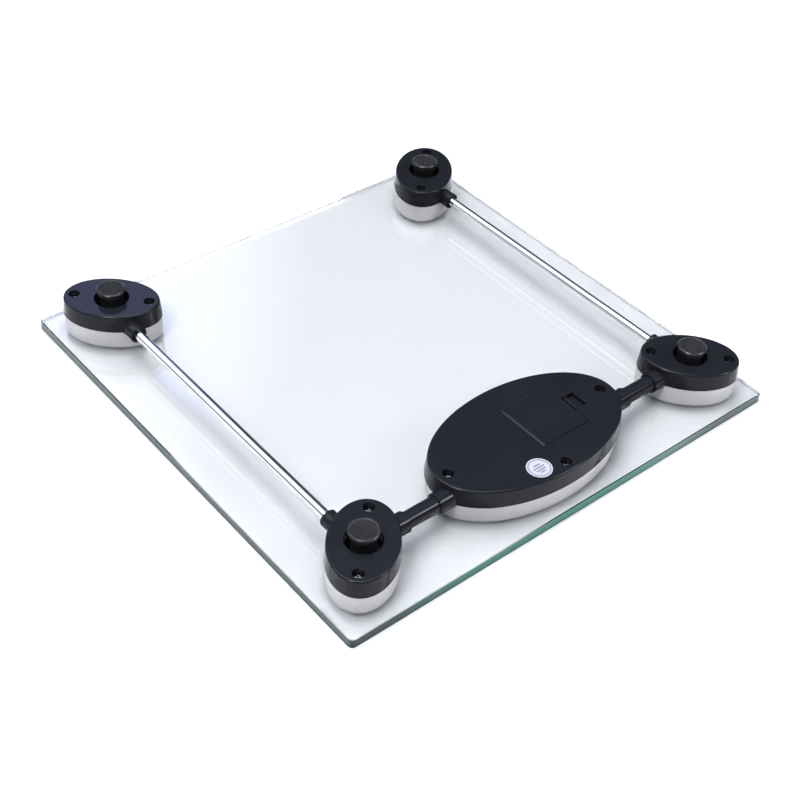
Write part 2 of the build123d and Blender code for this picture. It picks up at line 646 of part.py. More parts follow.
with BuildPart() as controller_blob:
    post(display, BLOB_X, 0, (BOARD_TOP, BOARD_TOP + BLOB_HEIGHT), BLOB_RADIUS)
    fillet(controller_blob.faces().sort_by(Axis.Z)[-1].edges(), BLOB_ROUNDING)
save(controller_blob.part, "controller_blob")

with BuildPart() as board_components:
    for part_x, part_y in COMPONENT_PLACES:
        with Locations((part_x, DISPLAY_Y + part_y, BOARD_TOP)):
            Box(*COMPONENT_SIZE, align=ON_SEAT)
save(board_components.part, "board_components")

cell_bottom = WELL_FLOOR + CONTACT_THICKNESS
with BuildPart() as coin_cell:
    can_top = cell_bottom + CELL_HEIGHT - CELL_CAP_HEIGHT
    post(cradle, 0, 0, (cell_bottom, can_top), CELL_RADIUS)
    post(cradle, 0, 0, (can_top, can_top + CELL_CAP_HEIGHT), CELL_RADIUS - CELL_CAP_INSET)
save(coin_cell.part, "coin_cell")

with BuildPart() as battery_contact_negative:
    block(around(CELL_X, NEGATIVE_WIDTH), negative_y, (WELL_FLOOR, cell_bottom))
    block(around(CELL_X, CONTACT_LEG_WIDTH), negative_leg_y, (BOARD_TOP, WELL_FLOOR))
save(battery_contact_negative.part, "battery_contact_negative")

with BuildPart() as battery_contact_positive:
    strip_top = cell_bottom + CELL_HEIGHT - POSITIVE_BELOW_TOP
    block(around(CELL_X, POSITIVE_WIDTH), positive_y, (WELL_FLOOR, strip_top))
    block(around(CELL_X, CONTACT_LEG_WIDTH), positive_y, (BOARD_TOP, WELL_FLOOR))
save(battery_contact_positive.part, "battery_contact_positive")

# Wires: the rear run goes through a chrome tube and round the front foot, the front run
# joins it in the connector tube, and both end on the circuit board
on_cell = cell_top + WIRE_RADIUS + WIRE_LIFT
on_board = BOARD_TOP + WIRE_RADIUS + WIRE_LIFT
for side_name, side in (("left", -1), ("right", 1)):
    rear_points = [
        (side * POD_X, REAR_WIRE_Y[0], on_cell),
        (side * POD_X, REAR_WIRE_Y[1], on_cell),
        (side * POD_X, REAR_WIRE_Y[2], TUBE_Z),
        (side * POD_X, REAR_WIRE_TURN[1], TUBE_Z),
        (side * REAR_WIRE_TURN[0], REAR_LANE_Y, TUBE_Z),
        (side * WIRE_DROP_X, REAR_LANE_Y, TUBE_Z),
        (side * WIRE_BOARD_X[1], REAR_LANE_Y, on_board),
        (side * WIRE_BOARD_X[0], REAR_LANE_Y, on_board),
    ]
    save(wire_run(rear_points, REAR_WIRE_BENDS), f"rear_sensor_wires_{side_name}")
    start, rise, lane = FRONT_WIRE_START
    front_points = [
        (side * start[0], start[1], on_cell),
        (side * rise[0], rise[1], on_cell),
        (side * lane[0], lane[1], TUBE_Z),
        (side * WIRE_DROP_X, FRONT_LANE_Y, TUBE_Z),
        (side * WIRE_BOARD_X[1], FRONT_LANE_Y, on_board),
        (side * WIRE_BOARD_X[0], FRONT_LANE_Y, on_board),
    ]
    save(wire_run(front_points, FRONT_WIRE_BENDS), f"front_sensor_wires_{side_name}")
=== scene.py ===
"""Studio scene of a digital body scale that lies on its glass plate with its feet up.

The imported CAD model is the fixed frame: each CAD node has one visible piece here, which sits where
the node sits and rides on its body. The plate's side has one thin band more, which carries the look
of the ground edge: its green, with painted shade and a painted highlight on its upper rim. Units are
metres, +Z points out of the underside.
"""
import json
import math

import bmesh
import bpy
from mathutils import Matrix, Vector
from mathutils.bvhtree import BVHTree


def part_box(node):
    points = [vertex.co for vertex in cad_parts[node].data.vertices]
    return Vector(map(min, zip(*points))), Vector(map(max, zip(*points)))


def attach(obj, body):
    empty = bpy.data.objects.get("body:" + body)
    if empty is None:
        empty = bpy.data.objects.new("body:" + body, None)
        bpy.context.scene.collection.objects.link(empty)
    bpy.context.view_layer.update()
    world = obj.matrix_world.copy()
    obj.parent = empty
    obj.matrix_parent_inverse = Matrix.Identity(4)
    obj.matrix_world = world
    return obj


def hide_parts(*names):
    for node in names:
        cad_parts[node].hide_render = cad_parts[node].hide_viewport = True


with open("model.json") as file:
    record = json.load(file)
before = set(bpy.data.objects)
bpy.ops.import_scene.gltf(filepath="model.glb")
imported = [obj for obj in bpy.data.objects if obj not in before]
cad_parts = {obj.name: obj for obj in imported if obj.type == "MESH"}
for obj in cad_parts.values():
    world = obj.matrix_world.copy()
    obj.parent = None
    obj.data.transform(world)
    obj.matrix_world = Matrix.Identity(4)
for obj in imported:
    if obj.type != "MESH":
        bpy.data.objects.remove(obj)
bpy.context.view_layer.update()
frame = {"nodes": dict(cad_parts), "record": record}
record = frame["record"]
SLOT_OF = {part["node"]: part["material_slot"] for part in record["subparts"]}
BODY_OF = {node: body for body, nodes in record["behaviour"]["bodies"].items() for node in nodes}
MM = 0.001
PODS = ("front_left", "front_right", "rear_left", "rear_right")

# Camera: where it looks, from which side, how it is rolled, and its lens and sensor in millimetres
AIM = (-0.0186, -0.0262, 0.0)
AZIMUTH = math.radians(-41.88)
ELEVATION = math.radians(41.70)
ROLL = math.radians(3.80)
DISTANCE = 0.8004
LENS = 63.35
SENSOR_WIDTH = 36.0
CLIP_START = 0.01

FLOOR_SIZE = 30.0
FLOOR_CELLS = 8
FLOOR_GAP = 0.4 * MM
# Distances from the object between which the floor fades to white
FLOOR_FADE = (0.35, 0.9)
FLOOR_TONES = ((0.795, 0.805, 0.83), (0.815, 0.825, 0.85))
FLOOR_DRIFT = 2.0
FLOOR_ROUGHNESS = 0.9
FLOOR_SPECULAR = 0.1

# The surroundings' colour by the height of the direction, from 0, the horizon, to 1, straight up
WORLD_BANDS = (
    (0.0, (0.03, 0.032, 0.036)),
    (0.15, (0.03, 0.032, 0.04)),
    (0.42, (0.035, 0.038, 0.05)),
    (0.55, (0.07, 0.075, 0.095)),
    (0.63, (0.08, 0.085, 0.11)),
    (0.69, (0.12, 0.13, 0.17)),
    (0.75, (0.46, 0.51, 0.65)),
    (0.80, (0.58, 0.63, 0.76)),
    (1.0, (0.42, 0.45, 0.52)),
)
# Soft bright patches of the surroundings: direction, full within and gone beyond (degrees), colour
WORLD_PATCHES = (
    ((-0.26, 0.62, 0.72), 14.0, 24.0, (2.2, 2.2, 2.25)),
    ((-0.77, 0.56, 0.31), 17.0, 25.0, (0.34, 0.34, 0.36)),
    ((0.33, 0.74, 0.585), 4.0, 11.0, (1.20, 1.36, 2.50)),
)
# Soft boxes: name, direction, distance, side, power, turn about its own axis (degrees)
SOFT_BOXES = (
    ("overhead", (0.04, 0.12, 0.99), 1.35, 0.8, 14.2, 45.0),
    ("left", (-0.55, -0.16, 0.80), 1.5, 0.34, 12.0, 0.0),
    ("right", (0.49, -0.635, 0.597), 1.6, 0.38, 9.0, 0.0),
)
SOFT_BOX_COLOUR = (1.0, 0.99, 0.985)

# The broad drift in colour of plastics and of metals, in waves per metre, as for every pattern here
MOULDED_DRIFT = 35.0
METAL_DRIFT = 60.0
# Noise values that count as a pattern's two ends
NOISE_SPAN = (0.3, 0.7)

# Plastics and rubbers: darkest and lightest colour, roughness, waves of the skin's fine grain, the
# grain's depth in millimetres and, where they aren't the usual, how far the roughness spreads and
# the specular level
MOULDED = {
    # clear_bond is coloured near black: painted shade for the dark gap between the bases and the glass
    "clear_bond": ((0.010, 0.011, 0.012), (0.018, 0.019, 0.021), 0.30, 900.0, 0.004),
    "white_plastic": ((0.60, 0.595, 0.60), (0.63, 0.625, 0.63), 0.30, 2600.0, 0.004),
    "black_plastic": ((0.0096, 0.0104, 0.0145), (0.0118, 0.0127, 0.0172), 0.12, 2400.0, 0.002, 0.03, 0.16),
    "gauge_seal": ((0.74, 0.74, 0.72), (0.82, 0.82, 0.80), 0.45, 700.0, 0.03),
    "foot_plastic": ((0.006, 0.006, 0.008), (0.010, 0.010, 0.012), 0.42, 2200.0, 0.006),
    "foot_rubber": ((0.010, 0.011, 0.013), (0.018, 0.019, 0.022), 0.32, 3000.0, 0.010),
    "wire_jacket": ((0.02, 0.02, 0.02), (0.04, 0.04, 0.04), 0.4, 1500.0, 0.01),
    "lcd_glass": ((0.30, 0.34, 0.30), (0.36, 0.40, 0.35), 0.12, 300.0, 0.001, 0.03),
    "reflector": ((0.70, 0.72, 0.72), (0.80, 0.82, 0.82), 0.5, 1500.0, 0.004),
    "elastomer": ((0.22, 0.12, 0.11), (0.36, 0.22, 0.20), 0.6, 1200.0, 0.01),
    "board": ((0.012, 0.075, 0.035), (0.020, 0.105, 0.050), 0.32, 1400.0, 0.006),
    "epoxy": ((0.006, 0.006, 0.006), (0.012, 0.012, 0.012), 0.22, 400.0, 0.02),
    "components": ((0.20, 0.15, 0.10), (0.34, 0.28, 0.20), 0.4, 900.0, 0.01),
}
# Metals: darkest and lightest colour, roughness, waves of the fine marks, the marks' depth in
# millimetres and, where they aren't the usual, how far the roughness spreads and the marks' stretch
METALS = {
    "plated_steel": ((0.52, 0.52, 0.50), (0.66, 0.66, 0.64), 0.30, 900.0, 0.003),
    "screw_steel": ((0.30, 0.30, 0.32), (0.48, 0.48, 0.50), 0.14, 1600.0, 0.004),
    "chrome_plate": ((0.80, 0.81, 0.82), (0.88, 0.88, 0.89), 0.05, 700.0, 0.0015, 0.03, (1, 0.05, 1)),
    "cell_steel": ((0.58, 0.58, 0.58), (0.68, 0.68, 0.68), 0.24, 1200.0, 0.002),
}

# The glass: its roughness drifts over the plate, and its absorption gives the green tint
GLASS_IOR = 1.5
GLASS_SMEAR = 24.0
GLASS_ROUGHNESS = (0.001, 0.005)
GLASS_ABSORPTION = (0.42, 0.80, 0.76)
GLASS_DENSITY = 3.0

# The ground edge's painted light from the weighing face, 0, to the underside, 1: painted shade low on the
# edge and a painted highlight, brighter than white, on its upper rim
EDGE_PAINTED_LIGHT = (
    (0.0, (0.35, 0.45, 0.42)),
    (0.10, (0.30, 0.36, 0.34)),
    (0.30, (0.75, 0.80, 0.78)),
    (0.75, (1.0, 1.0, 1.0)),
    (0.91, (0.85, 0.90, 0.88)),
    (0.94, (2.6, 1.9, 2.0)),
    (1.0, (3.6, 2.6, 2.8)),
)
# The ground edge's green from the -X side, 0, to the +X side, 1, with painted shade towards the -X side
# and painted highlights past the middle and on the +X side
EDGE_TINT_AND_PAINTED_LIGHT = (
    (0.0, (0.050, 0.090, 0.084)),
    (0.004, (0.020, 0.036, 0.034)),
    (0.08, (0.022, 0.050, 0.045)),
    (0.20, (0.030, 0.160, 0.120)),
    (0.32, (0.030, 0.220, 0.165)),
    (0.60, (0.032, 0.220, 0.165)),
    (0.70, (0.080, 0.260, 0.210)),
    (0.77, (0.130, 0.220, 0.200)),
    (0.86, (0.060, 0.110, 0.105)),
    (0.996, (0.055, 0.110, 0.100)),
    (1.0, (0.20, 0.30, 0.28)),
)
EDGE_DRIFT = 14.0
EDGE_DRIFT_TONES = ((0.72, 0.78, 0.76), (1.0, 1.0, 1.0))
EDGE_ROUGHNESS = (0.10, 0.24)
EDGE_SPECULAR = 0.3
# The edge band's shape: how far it stands off the plate, its corners' radius and the steps of each,
# and how far it stays away from the plate's two faces
EDGE_STANDOFF = 0.02 * MM
EDGE_CORNER = 3.0 * MM
EDGE_CORNER_STEPS = 10
EDGE_ARRIS = 0.14 * MM

# The sticker's print, in millimetres: the ring's radius and half width, the bars' half width, and
# each bar's distance from the middle and half length
LABEL_RING = (5.9, 0.28)
LABEL_BAR_HALF = 0.42
LABEL_BARS = ((2.1, 2.2), (0.3, 3.6), (-1.5, 3.0), (-3.1, 1.6))
LABEL_PAPER = ((0.42, 0.42, 0.49), (0.48, 0.48, 0.55))
LABEL_INK = (0.06, 0.06, 0.09)
LABEL_INK_SHARE = (0.65, 0.95)
LABEL_FIBRE = 2500.0
LABEL_FIBRE_DEPTH = 0.01 * MM
LABEL_ROUGHNESS = 0.38

# Edges sharper than SHARP are shaded as edges, and edges sharper than ROUNDED are rounded. Faces that
# turn by less than FLAT are joined, and so are vertices nearer than WELD
SHARP = math.radians(38)
ROUNDED = math.radians(50)
FLAT = math.radians(0.2)
WELD = 0.002 * MM
# How much more large faces count than small ones in the shading of their shared vertices
NORMAL_WEIGHT = 60
# How far a rounding may leave the CAD surface, and how far around such a place edges stay sharp
STRAY = 0.05 * MM
LEFT_SHARP_REACH = 2.0 * MM
ROUNDING_ATTEMPTS = 8
ROUNDING_SEGMENTS = 2
# How far each kind of piece has its edges rounded, in millimetres
EDGE_RADII = {
    "pod_cover": 0.18, "pod_base": 0.15, "foot_carrier": 0.2, "pod_screws": 0.1, "load_cell": 0.15,
    "strain_gauge": 0.12, "bond_pad": 0.0, "chrome_tube": 0.15, "connector_tube": 0.25,
    "rear_sensor_wires": 0.0, "front_sensor_wires": 0.0,
    "display_cover": 0.18, "display_base": 0.15, "battery_door": 0.16, "door_latch": 0.12,
    "display_screws": 0.1, "display_bond_pad": 0.0, "inspection_label": 0.04, "lcd_panel": 0.15,
    "lcd_frame": 0.2, "lcd_reflector": 0.05, "zebra_strips": 0.12, "circuit_board": 0.08,
    "board_screws": 0.06, "controller_blob": 0.0, "board_components": 0.08, "coin_cell": 0.25,
    "battery_contact_negative": 0.06, "battery_contact_positive": 0.06, "glass_platform": 0.12,
}

# The foot pad's outline in millimetres: how far in from its widest, and how far above its foot or
# below its face
PAD_FOOT = ((0.75, 0.0), (0.45, 0.1), (0.32, 0.4))
PAD_RIM = (
    (0.05, 1.05), (0.0, 0.85), (0.03, 0.68), (0.12, 0.55), (0.55, 0.12), (0.68, 0.03), (0.80, 0.0),
    (0.92, 0.0), (1.00, 0.05), (1.05, 0.35),
)
PAD_FLOOR = 0.35
PAD_STEPS = 96
# The knurl of small pyramids on the pad's face: pitch, half width, half width of the blunt tip,
# depth of the pyramids' feet and of their tips below the face, and the plain rim's width
KNURL_PITCH = 1.05 * MM
KNURL_HALF = 0.47 * KNURL_PITCH
KNURL_TIP_HALF = 0.30 * KNURL_HALF
KNURL_FOOT = 0.37 * MM
KNURL_TIP = 0.01 * MM
KNURL_RIM = 1.45 * MM
KNURL_SIDES = 4


# Camera, floor and light ---------------------------------------------------------------

def make_camera():
    """Camera at the given azimuth and elevation, looking at AIM, turned about its own axis."""
    back = Vector((
        math.sin(AZIMUTH) * math.cos(ELEVATION),
        -math.cos(AZIMUTH) * math.cos(ELEVATION),
        math.sin(ELEVATION),
    ))
    data = bpy.data.cameras.new("camera")
    data.lens = LENS
    data.sensor_width = SENSOR_WIDTH
    data.clip_start = CLIP_START
    camera = bpy.data.objects.new("camera", data)
    bpy.context.scene.collection.objects.link(camera)
    turn = (-back).to_track_quat("-Z", "Y").to_matrix() @ Matrix.Rotation(ROLL, 3, "Z")
    camera.matrix_world = Matrix.Translation(Vector(AIM) + back * DISTANCE) @ turn.to_4x4()
    bpy.context.scene.camera = camera


def make_floor():
    """Wide pale floor, a hair below the glass."""
    bm = bmesh.new()
    bmesh.ops.create_grid(bm, x_segments=FLOOR_CELLS, y_segments=FLOOR_CELLS, size=FLOOR_SIZE / 2)
    floor = new_object("studio_floor", bm)
    floor.location.z = -FLOOR_GAP
    floor.data.materials.append(floor_material())


def make_lights():
    """Square soft boxes, each facing the object's origin."""
    for name, towards, distance, side, power, turn in SOFT_BOXES:
        data = bpy.data.lights.new(name, "AREA")
        data.size = side
        data.energy = power
        data.color = SOFT_BOX_COLOUR
        light = bpy.data.objects.new(name, data)
        bpy.context.scene.collection.objects.link(light)
        place = Vector(towards).normalized() * distance
        facing = place.to_track_quat("Z", "Y").to_matrix() @ Matrix.Rotation(math.radians(turn), 3, "Z")
        light.matrix_world = Matrix.Translation(place) @ facing.to_4x4()


def make_world():
    """Dim bluish surroundings with a few soft bright patches. Seen directly, plain white."""
    world = bpy.data.worlds.new("studio")
    bpy.context.scene.world = world
    world.use_nodes = True
    nt = world.node_tree
    nt.nodes.clear()
    direction = nt.nodes.new("ShaderNodeTexCoord").outputs["Generated"]
    light = ramp_of(nt, part_of(nt, direction, "Z"), WORLD_BANDS)
    for towards, inner, outer, colour in WORLD_PATCHES:
        near = vector_maths(nt, "DOT_PRODUCT", direction, Vector(towards).normalized())
        share = nt.nodes.new("ShaderNodeMapRange")
        share.interpolation_type = "SMOOTHSTEP"
        share.inputs["From Min"].default_value = math.cos(math.radians(outer))
        share.inputs["From Max"].default_value = math.cos(math.radians(inner))
        nt.links.new(near.outputs["Value"], share.inputs["Value"])
        patch = vector_maths(nt, "SCALE", colour)
        nt.links.new(share.outputs["Result"], patch.inputs["Scale"])
        light = vector_maths(nt, "ADD", light, patch.outputs["Vector"]).outputs["Vector"]
    soft = nt.nodes.new("ShaderNodeBackground")
    nt.links.new(light, soft.inputs["Color"])
    white = nt.nodes.new("ShaderNodeBackground")
    white.inputs["Color"].default_value = (1, 1, 1, 1)
    seen = nt.nodes.new("ShaderNodeLightPath").outputs["Is Camera Ray"]
    out = nt.nodes.new("ShaderNodeOutputWorld")
    nt.links.new(mix_shaders(nt, seen, soft, white), out.inputs["Surface"])


# Shader nodes --------------------------------------------------------------------------

def feed(nt, socket, value):
    """Links a socket to another one, or sets it to a constant."""
    if isinstance(value, bpy.types.NodeSocket):
        nt.links.new(value, socket)
    else:
        socket.default_value = value


def maths(nt, operation, *operands):
    """Result of a math node."""
    node = nt.nodes.new("ShaderNodeMath")
    node.operation = operation
    for socket, operand in zip(node.inputs, operands):
        feed(nt, socket, operand)
    return node.outputs[0]


def vector_maths(nt, operation, *operands):
    """Vector math node."""
    node = nt.nodes.new("ShaderNodeVectorMath")
    node.operation = operation
    for socket, operand in zip(node.inputs, operands):
        feed(nt, socket, operand)
    return node


def object_coords(nt):
    """Object coordinates, in metres."""
    return nt.nodes.new("ShaderNodeTexCoord").outputs["Object"]


def part_of(nt, vector, axis):
    """One coordinate of a vector."""
    split = nt.nodes.new("ShaderNodeSeparateXYZ")
    nt.links.new(vector, split.inputs[0])
    return split.outputs[axis]


def ramp_of(nt, value, stops):
    """Colour ramp over a value; each stop is a position and an RGB colour."""
    ramp = nt.nodes.new("ShaderNodeValToRGB")
    elements = ramp.color_ramp.elements
    while len(elements) < len(stops):
        elements.new(1.0)
    for element, (position, colour) in zip(elements, stops):
        element.position = position
        element.color = (*colour, 1.0)
    nt.links.new(value, ramp.inputs["Fac"])
    return ramp.outputs["Color"]


def noise(nt, vector, scale, detail=3.0, roughness=0.5):
    """Noise value at a scale given in waves per metre."""
    node = nt.nodes.new("ShaderNodeTexNoise")
    node.inputs["Scale"].default_value = scale
    node.inputs["Detail"].default_value = detail
    node.inputs["Roughness"].default_value = roughness
    nt.links.new(vector, node.inputs["Vector"])
    return node.outputs["Fac"]


def remap(nt, value, low, high, start=NOISE_SPAN[0], end=NOISE_SPAN[1]):
    """Value from start..end brought to low..high."""
    node = nt.nodes.new("ShaderNodeMapRange")
    node.inputs["From Min"].default_value = start
    node.inputs["From Max"].default_value = end
    node.inputs["To Min"].default_value = low
    node.inputs["To Max"].default_value = high
    nt.links.new(value, node.inputs["Value"])
    return node.outputs["Result"]


def mix_colours(nt, share, first, second, blend="MIX"):
    """Two colours, each a socket or RGB, mixed by a share."""
    node = nt.nodes.new("ShaderNodeMix")
    node.data_type = "RGBA"
    node.blend_type = blend
    feed(nt, node.inputs[0], share)
    for socket, colour in ((node.inputs[6], first), (node.inputs[7], second)):
        feed(nt, socket, colour if isinstance(colour, bpy.types.NodeSocket) else (*colour, 1))
    return node.outputs[2]


def mix_shaders(nt, share, first, second):
    """Two shader nodes mixed by a share."""
    mix = nt.nodes.new("ShaderNodeMixShader")
    nt.links.new(share, mix.inputs["Fac"])
    nt.links.new(first.outputs[0], mix.inputs[1])
    nt.links.new(second.outputs[0], mix.inputs[2])
    return mix.outputs[0]


def add_bump(nt, shader, height, distance):
    """Bump of a given depth in metres."""
    bump = nt.nodes.new("ShaderNodeBump")
    bump.inputs["Strength"].default_value = 1.0
    bump.inputs["Distance"].default_value = distance
    nt.links.new(height, bump.inputs["Height"])
    nt.links.new(bump.outputs["Normal"], shader.inputs["Normal"])


# Materials -----------------------------------------------------------------------------

def new_material(name):
    """New material with its node tree and its Principled shader."""
    material = bpy.data.materials.new(name)
    material.use_nodes = True
    nt = material.node_tree
    return material, nt, nt.nodes["Principled BSDF"]


def surface_output(nt):
    """Socket of the material output that takes the surface's shader."""
    return nt.nodes["Material Output"].inputs["Surface"]


def moulded(name, dark, light, rough, grain, depth, spread=0.06, specular=0.5):
    """Moulded plastic or rubber: a faint drift in colour and roughness over a fine grained skin."""
    material, nt, shader = new_material(name)
    where = object_coords(nt)
    broad = noise(nt, where, MOULDED_DRIFT, detail=4.0)
    fine = noise(nt, where, grain, detail=2.0, roughness=0.6)
    nt.links.new(mix_colours(nt, remap(nt, broad, 0, 1), dark, light), shader.inputs["Base Color"])
    nt.links.new(remap(nt, fine, rough - spread, rough + spread), shader.inputs["Roughness"])
    shader.inputs["Specular IOR Level"].default_value = specular
    add_bump(nt, shader, fine, depth * MM)
    return material


def metal(name, dark, light, rough, grain, depth, spread=0.05, stretch=(1, 1, 1)):
    """Bare or plated metal: fine marks, which a stretch can draw out, over a slow drift in colour."""
    material, nt, shader = new_material(name)
    where = object_coords(nt)
    drawn = nt.nodes.new("ShaderNodeMapping")
    drawn.inputs["Scale"].default_value = stretch
    nt.links.new(where, drawn.inputs["Vector"])
    marks = noise(nt, drawn.outputs["Vector"], grain, detail=4.0, roughness=0.65)
    broad = noise(nt, where, METAL_DRIFT)
    shader.inputs["Metallic"].default_value = 1.0
    nt.links.new(mix_colours(nt, remap(nt, broad, 0, 1), dark, light), shader.inputs["Base Color"])
    nt.links.new(remap(nt, marks, rough - spread, rough + spread), shader.inputs["Roughness"])
    add_bump(nt, shader, marks, depth * MM)
    return material


def floor_material():
    """Matt white table with a barely visible drift in tone, fading to plain white in the distance."""
    material, nt, shader = new_material("studio_floor")
    where = object_coords(nt)
    tone = mix_colours(nt, noise(nt, where, FLOOR_DRIFT), *FLOOR_TONES)
    nt.links.new(tone, shader.inputs["Base Color"])
    shader.inputs["Roughness"].default_value = FLOOR_ROUGHNESS
    shader.inputs["Specular IOR Level"].default_value = FLOOR_SPECULAR
    away = vector_maths(nt, "LENGTH", where).outputs["Value"]
    seen = nt.nodes.new("ShaderNodeLightPath").outputs["Is Camera Ray"]
    share = maths(nt, "MULTIPLY", remap(nt, away, 0.0, 1.0, *FLOOR_FADE), seen)
    white = nt.nodes.new("ShaderNodeEmission")
    nt.links.new(mix_shaders(nt, share, shader, white), surface_output(nt))
    return material


def glass_material():
    """Clear float glass: a green tint that only long ways through the plate bring out."""
    material, nt, shader = new_material("platform_glass")
    smear = noise(nt, object_coords(nt), GLASS_SMEAR)
    shader.inputs["Base Color"].default_value = (1, 1, 1, 1)
    shader.inputs["Transmission Weight"].default_value = 1.0
    shader.inputs["IOR"].default_value = GLASS_IOR
    nt.links.new(remap(nt, smear, *GLASS_ROUGHNESS), shader.inputs["Roughness"])
    absorb = nt.nodes.new("ShaderNodeVolumeAbsorption")
    absorb.inputs["Color"].default_value = (*GLASS_ABSORPTION, 1)
    absorb.inputs["Density"].default_value = GLASS_DENSITY
    nt.links.new(absorb.outputs[0], nt.nodes["Material Output"].inputs["Volume"])
    return material


def edge_material(thickness, half):
    """The plate's ground edge: green with painted shade and a painted highlight on its upper rim from
    outside, and clear from inside.
    """
    material, nt, shader = new_material("glass_edge")
    where = object_coords(nt)
    # Painted shade and a painted highlight by height, then painted light that changes from side to side
    painted_light_by_height = ramp_of(nt, remap(nt, part_of(nt, where, "Z"), 0.0, 1.0, 0.0, thickness), EDGE_PAINTED_LIGHT)
    tint_and_painted_light = ramp_of(nt, remap(nt, part_of(nt, where, "X"), 0.0, 1.0, -half, half), EDGE_TINT_AND_PAINTED_LIGHT)
    drift = noise(nt, where, EDGE_DRIFT, detail=4.0)
    tint = mix_colours(nt, remap(nt, drift, 0, 1), *EDGE_DRIFT_TONES)
    shaded = mix_colours(nt, 1.0, painted_light_by_height, tint_and_painted_light, "MULTIPLY")
    nt.links.new(mix_colours(nt, 1.0, shaded, tint, "MULTIPLY"), shader.inputs["Base Color"])
    nt.links.new(remap(nt, drift, *EDGE_ROUGHNESS), shader.inputs["Roughness"])
    shader.inputs["Specular IOR Level"].default_value = EDGE_SPECULAR
    inside = nt.nodes.new("ShaderNodeNewGeometry").outputs["Backfacing"]
    clear = nt.nodes.new("ShaderNodeBsdfTransparent")
    nt.links.new(mix_shaders(nt, inside, shader, clear), surface_output(nt))
    return material


def label_material(centre):
    """Blank coated paper disc with a printed ring and a few plain bars."""
    material, nt, shader = new_material("label_paper")
    where = object_coords(nt)
    shifted = vector_maths(nt, "SUBTRACT", where, centre).outputs["Vector"]
    flat = vector_maths(nt, "MULTIPLY", shifted, (1, 1, 0)).outputs["Vector"]
    away = vector_maths(nt, "LENGTH", flat).outputs["Value"]
    x, y = part_of(nt, flat, "X"), part_of(nt, flat, "Y")

    def near(value, middle, half):
        """1 where a value is within half of the middle, both in millimetres."""
        return maths(nt, "COMPARE", value, middle * MM, half * MM)

    ink = near(away, *LABEL_RING)
    for offset, half_length in LABEL_BARS:
        bar = maths(nt, "MULTIPLY", near(y, offset, LABEL_BAR_HALF), near(x, 0.0, half_length))
        ink = maths(nt, "MAXIMUM", ink, bar)
    fibre = noise(nt, where, LABEL_FIBRE)
    paper = mix_colours(nt, fibre, *LABEL_PAPER)
    inked = maths(nt, "MULTIPLY", ink, remap(nt, fibre, *LABEL_INK_SHARE))
    nt.links.new(mix_colours(nt, inked, paper, LABEL_INK), shader.inputs["Base Color"])
    shader.inputs["Roughness"].default_value = LABEL_ROUGHNESS
    add_bump(nt, shader, fibre, LABEL_FIBRE_DEPTH)
    return material


def make_materials():
    """One material for each slot of the record."""
    low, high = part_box("inspection_label")
    made = {slot: moulded(slot, *look) for slot, look in MOULDED.items()}
    made.update({slot: metal(slot, *look) for slot, look in METALS.items()})
    made["platform_glass"] = glass_material()
    made["label_paper"] = label_material((low + high) / 2)
    return made


# Pieces --------------------------------------------------------------------------------

def new_object(name, bm):
    """Object from a bmesh, which is freed."""
    mesh = bpy.data.meshes.new(name)
    bm.to_mesh(mesh)
    bm.free()
    made = bpy.data.objects.new(name, mesh)
    bpy.context.scene.collection.objects.link(made)
    return made


def kind_of(node):
    """A node's name without its place."""
    for ending in (*PODS, "left", "right"):
        if node.endswith("_" + ending):
            return node[:-len(ending) - 1]
    return node


def is_sharper(edge, angle):
    """Whether an edge's two faces turn by more than an angle."""
    return len(edge.link_faces) == 2 and edge.calc_face_angle(0) > angle


def add_piece(bm, node):
    """Visible piece from a bmesh, in place of one CAD node, on its body and of its slot."""
    for face in bm.faces:
        face.smooth = True
    for edge in bm.edges:
        edge.smooth = not is_sharper(edge, SHARP)
    made = new_object(f"{node}_visual", bm)
    slot = SLOT_OF[node]
    made.data.materials.append(MATERIALS[slot])
    weighted = made.modifiers.new("weighted", "WEIGHTED_NORMAL")
    weighted.keep_sharp = True
    weighted.weight = NORMAL_WEIGHT
    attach(made, BODY_OF[node])
    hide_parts(node)


def cad_copy(node):
    """Mesh of a CAD node, with its flat faces joined into one face each."""
    bm = bmesh.new()
    bm.from_mesh(frame["nodes"][node].data)
    bmesh.ops.remove_doubles(bm, verts=bm.verts, dist=WELD)
    bmesh.ops.dissolve_limit(bm, angle_limit=FLAT, verts=bm.verts, edges=bm.edges)
    return bm


def rounded_copy(node, radius):
    """Mesh of a CAD node with its sharp edges rounded, but for those whose rounding would run off."""
    surface = BVHTree.FromBMesh(cad_copy(node))
    left_sharp = []
    for _ in range(ROUNDING_ATTEMPTS):
        bm = cad_copy(node)
        edges = [
            edge for edge in bm.edges
            if is_sharper(edge, ROUNDED)
            and not any(
                (v.co - place).length < LEFT_SHARP_REACH for v in edge.verts for place in left_sharp
            )
        ]
        bmesh.ops.bevel(
            bm, geom=edges, offset=radius, segments=ROUNDING_SEGMENTS, profile=0.5,
            affect="EDGES", clamp_overlap=False,
        )
        strays = [v.co.copy() for v in bm.verts if surface.find_nearest(v.co)[3] > radius + STRAY]
        if not strays:
            return bm
        left_sharp += strays
        bm.free()
    return cad_copy(node)


def add_refined(node):
    """Piece of a CAD node's own shape, with its sharp edges rounded."""
    radius = EDGE_RADII[kind_of(node)] * MM
    add_piece(rounded_copy(node, radius) if radius else cad_copy(node), node)


def ring_of(bm, centre, radius, z, steps):
    """Vertices evenly round a circle, or a single one for no radius."""
    if radius == 0.0:
        return [bm.verts.new((centre.x, centre.y, z))]
    angles = [2 * math.pi * step / steps for step in range(steps)]
    return [
        bm.verts.new((centre.x + radius * math.cos(a), centre.y + radius * math.sin(a), z)) for a in angles
    ]


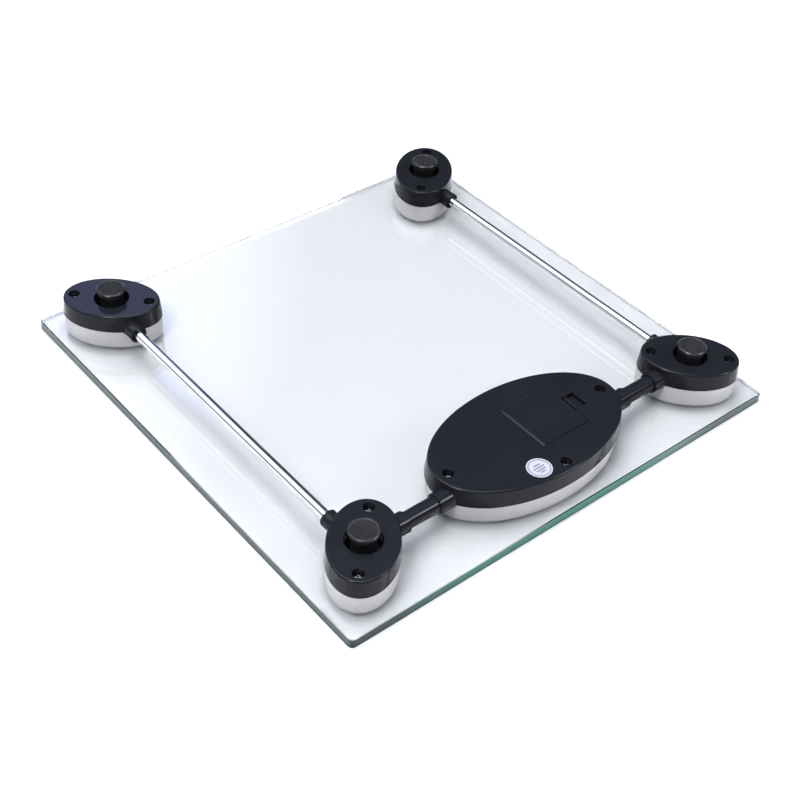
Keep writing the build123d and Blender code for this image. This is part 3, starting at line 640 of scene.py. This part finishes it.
def join_rings(bm, lower, upper):
    """Faces between two rings, either of which may be a single vertex."""
    steps = max(len(lower), len(upper))
    for step in range(steps):
        after = (step + 1) % steps
        if len(lower) == 1:
            bm.faces.new((lower[0], upper[after], upper[step]))
        elif len(upper) == 1:
            bm.faces.new((lower[step], lower[after], upper[0]))
        else:
            bm.faces.new((lower[step], lower[after], upper[after], upper[step]))


def add_foot_pad(node):
    """Rubber pad: a bevelled puck whose face is cut into small pyramids inside a plain rim."""
    low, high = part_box(node)
    centre = (low + high) / 2
    outer = (high.x - low.x) / 2
    profile = [
        (0.0, low.z),
        *((outer - inset * MM, low.z + rise * MM) for inset, rise in PAD_FOOT),
        *((outer - inset * MM, high.z - drop * MM) for inset, drop in PAD_RIM),
        (0.0, high.z - PAD_FLOOR * MM),
    ]
    bm = bmesh.new()
    rings = [ring_of(bm, centre, radius, z, PAD_STEPS) for radius, z in profile]
    for lower, upper in zip(rings, rings[1:]):
        join_rings(bm, lower, upper)
    reach = outer - KNURL_RIM
    count = int(reach / KNURL_PITCH) + 1
    # The pyramids' rows run at 45 degrees to X
    spacing = KNURL_PITCH * math.sqrt(0.5)
    for i in range(-count, count + 1):
        for j in range(-count, count + 1):
            middle = Vector(((i + j) * spacing, (i - j) * spacing, 0))
            if middle.length <= reach:
                add_pyramid(bm, centre + middle, high.z - KNURL_FOOT, high.z - KNURL_TIP)
    add_piece(bm, node)


def add_pyramid(bm, middle, foot, tip):
    """Closed blunt pyramid of the knurl, with its sides at 45 degrees to X."""
    lower = ring_of(bm, middle, KNURL_HALF * math.sqrt(2), foot, KNURL_SIDES)
    upper = ring_of(bm, middle, KNURL_TIP_HALF * math.sqrt(2), tip, KNURL_SIDES)
    join_rings(bm, lower, upper)
    bm.faces.new(upper)
    bm.faces.new(lower[::-1])


def add_glass_edge(node):
    """Thin band round the plate's side, just outside it, that carries the ground edge's green with its
    painted shade and highlight.
    """
    low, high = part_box(node)
    half = (high.x - low.x) / 2 + EDGE_STANDOFF
    middle = Vector((half - EDGE_CORNER, half - EDGE_CORNER))
    outline = []
    for quarter in range(4):
        for step in range(EDGE_CORNER_STEPS + 1):
            angle = math.pi / 2 * step / EDGE_CORNER_STEPS
            point = middle + EDGE_CORNER * Vector((math.cos(angle), math.sin(angle)))
            outline.append(Matrix.Rotation(math.pi / 2 * quarter, 2) @ point)
    bm = bmesh.new()
    lower, upper = (
        [bm.verts.new((point.x, point.y, z)) for point in outline]
        for z in (low.z + EDGE_ARRIS, high.z - EDGE_ARRIS)
    )
    join_rings(bm, lower, upper)
    for face in bm.faces:
        face.smooth = True
    band = new_object("glass_edge_band", bm)
    band.data.materials.append(edge_material(high.z - low.z, half))
    band.visible_shadow = False
    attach(band, BODY_OF[node])


make_camera()
make_floor()
make_lights()
make_world()
bpy.context.scene.view_settings.view_transform = "Standard"
MATERIALS = make_materials()
for node in sorted(frame["nodes"]):
    if kind_of(node) == "foot_pad":
        add_foot_pad(node)
    else:
        add_refined(node)
add_glass_edge("glass_platform")
